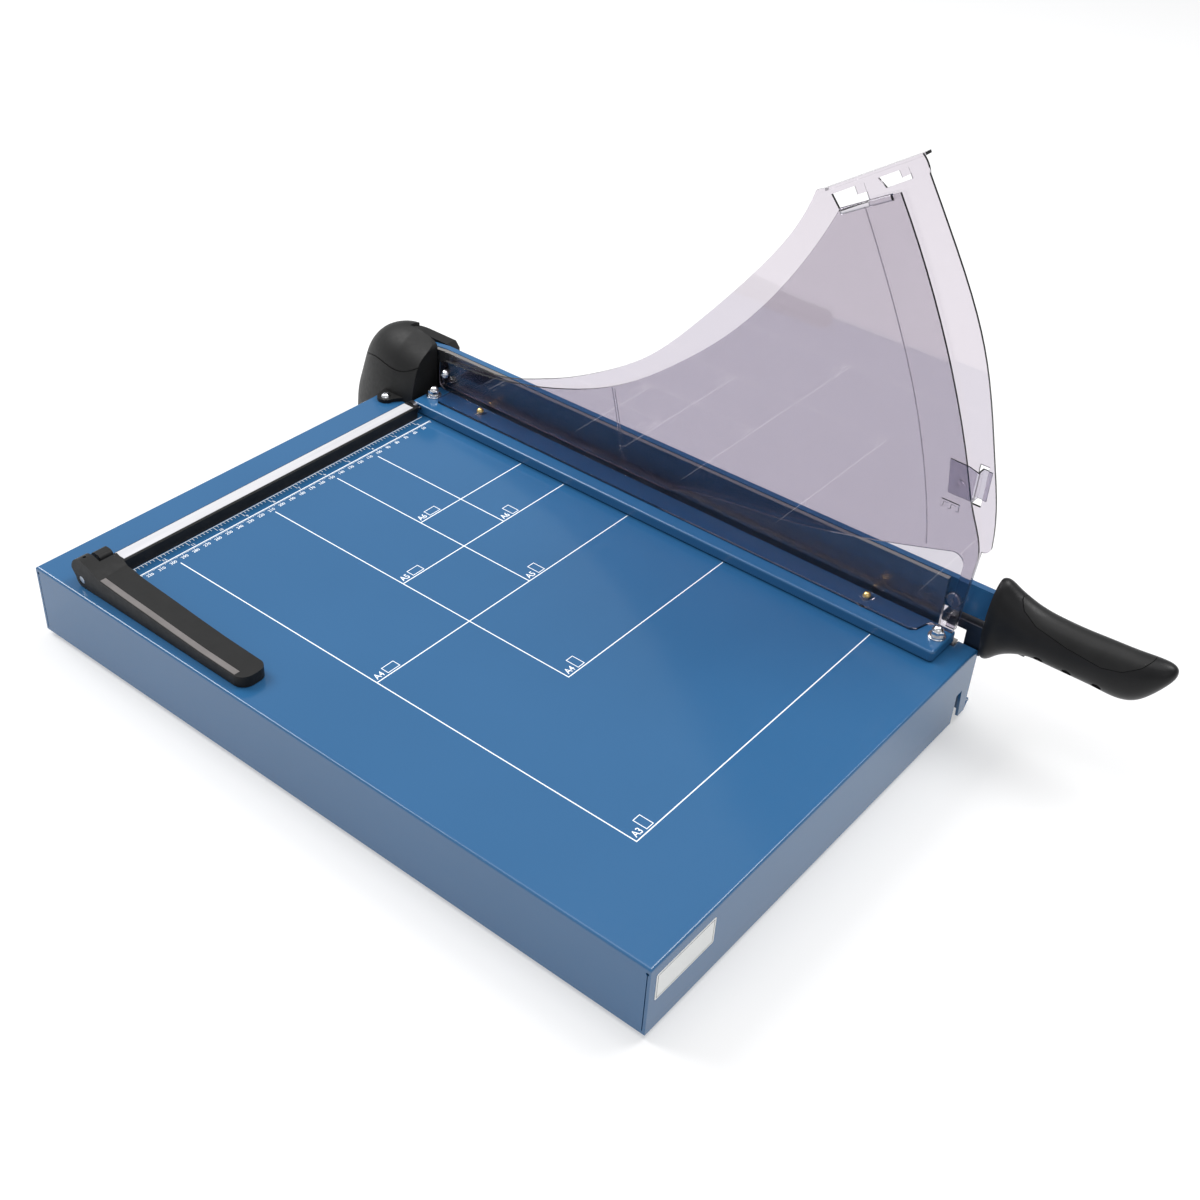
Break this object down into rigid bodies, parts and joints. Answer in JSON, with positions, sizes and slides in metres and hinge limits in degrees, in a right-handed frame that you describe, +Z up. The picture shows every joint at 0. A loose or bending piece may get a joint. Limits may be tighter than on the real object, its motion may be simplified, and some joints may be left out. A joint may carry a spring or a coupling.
{
  "type": "guillotine paper cutter",
  "caption": "Flat sheet-metal paper table with a swinging knife arm along its rear edge, a lever-worked press bar, a tall clear safety guard, a paper stop and a moulded handle.",
  "frame": {"origin": "middle of the footprint at floor level", "axes": "+X along the cut from the pivot to the handle, +Y from the paper table towards the cutting edge, +Z up"},
  "size_m": [0.717, 0.3908, 0.377],
  "materials": {
    "blue_paint": "smooth semi-gloss blue powder coat",
    "knife_steel": "ground hardened steel, dark and mirror-like",
    "zinc_steel": "zinc-plated",
    "bright_nut": "bright plated",
    "brass_screw": "yellow-passivated, slightly dull",
    "sintered_brass": "sintered, matt",
    "dark_screw": "blackened",
    "black_satin": "satin",
    "black_matte": "fine matt texture",
    "grip_soft": "satin, slightly softer than the handle",
    "grey_inlay": "matt dark grey",
    "silver_strip": "satin silver foil",
    "label_white": "plain printed film",
    "foot_rubber": "matt",
    "pad_rubber": "matt",
    "smoked_guard": "clear smoked acrylic with a violet tint",
    "smoked_clip": "clear smoked acrylic with a violet tint"
  },
  "bodies": {
    "table": {"table_base": "blue_paint", "rubber_feet": "foot_rubber", "foot_screws": "zinc_steel", "counter_blade": "knife_steel", "knife_bolts": "zinc_steel", "stop_bar": "black_satin", "stop_bar_strip": "silver_strip", "stop_bar_screws": "zinc_steel", "shaft_bushings": "sintered_brass", "lever_bracket": "black_matte", "lever_bracket_screws": "zinc_steel", "pivot_bracket": "blue_paint", "bracket_bolts": "zinc_steel", "pivot_bolt": "zinc_steel", "thrust_washer": "sintered_brass", "disc_springs": "zinc_steel", "pivot_nut": "zinc_steel", "arm_stop": "foot_rubber", "side_label": "label_white", "rear_flange": "blue_paint", "pivot_housing": "black_matte", "rear_cover": "black_matte", "housing_screws": "zinc_steel", "stud_guides": "sintered_brass"},
    "arm": {"blade_arm": "blue_paint", "pivot_bush": "sintered_brass", "cutting_blade": "knife_steel", "blade_screws": "dark_screw", "handle_tang": "dark_screw", "tang_bolt": "zinc_steel", "tang_nut": "zinc_steel", "grip_inlay": "grip_soft", "handle_body": "black_satin", "handle_screws": "dark_screw"},
    "lever": {"clamp_lever": "black_matte", "lever_inlay": "grey_inlay", "torsion_shaft": "zinc_steel", "lever_pin": "zinc_steel", "crank_disc": "zinc_steel"},
    "press": {"press_bar": "blue_paint", "press_pad": "pad_rubber", "press_studs": "zinc_steel", "press_beam": "zinc_steel", "beam_nuts": "zinc_steel", "press_springs": "zinc_steel", "stud_washers": "bright_nut", "cap_nuts": "bright_nut", "front_guard": "smoked_guard", "rear_guard": "smoked_guard", "guard_clip": "smoked_clip", "guard_screws": "brass_screw", "guard_screw_nuts": "zinc_steel", "end_screw": "bright_nut", "end_spacer": "smoked_clip"}
  },
  "joints": [
    {"name": "arm_pivot", "type": "hinge", "parent": "table", "child": "arm", "pos_m": [-0.2965, 0.17795, 0.073], "axis": [0, -1, 0], "range_deg": [0, 31]},
    {"name": "clamp_lever_pivot", "type": "hinge", "parent": "table", "child": "lever", "pos_m": [-0.259, -0.18315, 0.064], "axis": [0, -1, 0], "range_deg": [0, 50]},
    {"name": "press_lift", "type": "slide", "parent": "table", "child": "press", "axis": [0, 0, 1], "range_m": [0, 0.0032], "deforming": ["press_springs"]}
  ],
  "couplings": [
    {"joint": "press_lift", "follows": "clamp_lever_pivot", "m_per_rad": 0.003666}
  ]
}
